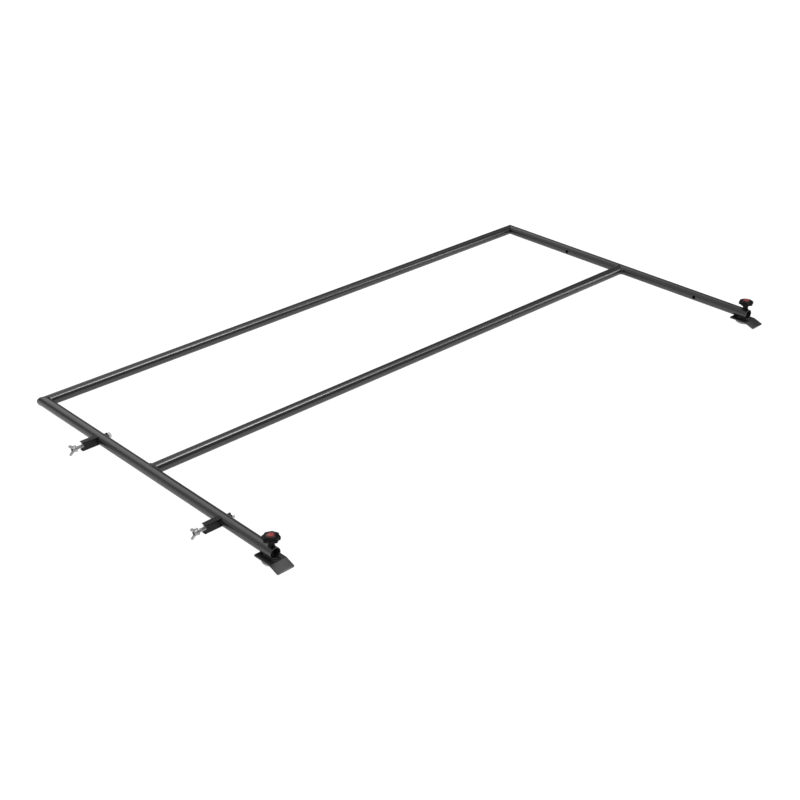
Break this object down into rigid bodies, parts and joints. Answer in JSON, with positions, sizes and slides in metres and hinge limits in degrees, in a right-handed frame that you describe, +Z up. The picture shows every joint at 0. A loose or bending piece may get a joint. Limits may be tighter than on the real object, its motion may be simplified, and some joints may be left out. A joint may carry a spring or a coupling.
{
  "type": "ladder rack",
  "caption": "Welded tube ladder rack for a truck bed: two rails, two crossbars, screw-clamp feet and stud clamps on standoffs along one rail.",
  "frame": {"origin": "centre of the bounding box, on the plane that the clamp bolts stand on", "axes": "+X across the rack to its right rail, +Y from the feet to the rear crossbar, +Z up"},
  "size_m": [1.7504, 0.9224, 0.0679],
  "materials": {
    "frame": "dark grey powder coat, satin",
    "weld": "weld bead under the same powder coat",
    "foot_plate": "dark grey powder coat, satin",
    "clamp_disc": "dull galvanised",
    "clamp_bolt": "black oxide",
    "saddle": "black rubber, matte",
    "knob": "black moulded plastic",
    "insert": "machined brass",
    "cap": "dark red moulded plastic with a brighter red centre",
    "knob_washer": "black nylon",
    "standoff": "black moulded plastic",
    "stud": "zinc plated thread",
    "washer": "zinc plated",
    "wing_nut": "zinc plated casting",
    "nut": "zinc plated",
    "pad": "black moulded plastic"
  },
  "bodies": {
    "root": {"crossbar_rear": "frame", "crossbar_front": "frame", "rail_left": "frame", "weld_corner_left": "weld", "weld_tee_left": "weld", "foot_saddle_left": "saddle", "knob_washer_left": "knob_washer", "rail_right": "frame", "weld_corner_right": "weld", "weld_tee_right": "weld", "foot_saddle_right": "saddle", "knob_washer_right": "knob_washer", "standoff_rear": "standoff", "stud_rear": "stud", "inner_pad_rear": "pad", "inner_washer_rear": "washer", "inner_nut_rear": "nut", "standoff_front": "standoff", "stud_front": "stud", "inner_pad_front": "pad", "inner_washer_front": "washer", "inner_nut_front": "nut"},
    "foot_left": {"foot_plate_left": "foot_plate"},
    "jaw_left": {"clamp_disc_left": "clamp_disc", "clamp_bolt_left": "clamp_bolt"},
    "knob_left": {"knob_left": "knob", "knob_insert_left": "insert", "knob_cap_left": "cap"},
    "foot_right": {"foot_plate_right": "foot_plate"},
    "jaw_right": {"clamp_disc_right": "clamp_disc", "clamp_bolt_right": "clamp_bolt"},
    "knob_right": {"knob_right": "knob", "knob_insert_right": "insert", "knob_cap_right": "cap"},
    "outer_washer_rear": {"outer_washer_rear": "washer"},
    "wing_nut_rear": {"wing_nut_rear": "wing_nut"},
    "outer_washer_front": {"outer_washer_front": "washer"},
    "wing_nut_front": {"wing_nut_front": "wing_nut"}
  },
  "joints": [
    {"name": "knob_turn_left", "type": "hinge", "parent": "root", "child": "knob_left", "pos_m": [-0.79175, -0.41631, 0.05685], "axis": [0, 0, 1], "range_deg": [0, 4320]},
    {"name": "jaw_slide_left", "type": "slide", "parent": "root", "child": "jaw_left", "axis": [0, 0, -1], "range_m": [0, 0.012]},
    {"name": "foot_swivel_left", "type": "hinge", "parent": "root", "child": "foot_left", "pos_m": [-0.79175, -0.41631, 0.0124], "axis": [0, 0, 1], "continuous": true},
    {"name": "knob_turn_right", "type": "hinge", "parent": "root", "child": "knob_right", "pos_m": [0.85325, -0.41631, 0.05685], "axis": [0, 0, 1], "range_deg": [0, 4320]},
    {"name": "jaw_slide_right", "type": "slide", "parent": "root", "child": "jaw_right", "axis": [0, 0, -1], "range_m": [0, 0.012]},
    {"name": "foot_swivel_right", "type": "hinge", "parent": "root", "child": "foot_right", "pos_m": [0.85325, -0.41631, 0.0124], "axis": [0, 0, 1], "continuous": true},
    {"name": "washer_slide_rear", "type": "slide", "parent": "root", "child": "outer_washer_rear", "axis": [1, 0, 0], "range_m": [0, 0.012]},
    {"name": "wing_nut_turn_rear", "type": "hinge", "parent": "outer_washer_rear", "child": "wing_nut_rear", "pos_m": [-0.85845, 0.20419, 0.02685], "axis": [1, 0, 0], "range_deg": [0, 3456]},
    {"name": "washer_slide_front", "type": "slide", "parent": "root", "child": "outer_washer_front", "axis": [1, 0, 0], "range_m": [0, 0.012]},
    {"name": "wing_nut_turn_front", "type": "hinge", "parent": "outer_washer_front", "child": "wing_nut_front", "pos_m": [-0.85845, -0.25781, 0.02685], "axis": [1, 0, 0], "range_deg": [0, 3456]}
  ],
  "couplings": [
    {"joint": "knob_turn_left", "follows": "jaw_slide_left", "rad_per_m": 6283.2},
    {"joint": "knob_turn_right", "follows": "jaw_slide_right", "rad_per_m": 6283.2},
    {"joint": "wing_nut_turn_rear", "follows": "washer_slide_rear", "rad_per_m": 5026.5},
    {"joint": "wing_nut_turn_front", "follows": "washer_slide_front", "rad_per_m": 5026.5}
  ]
}
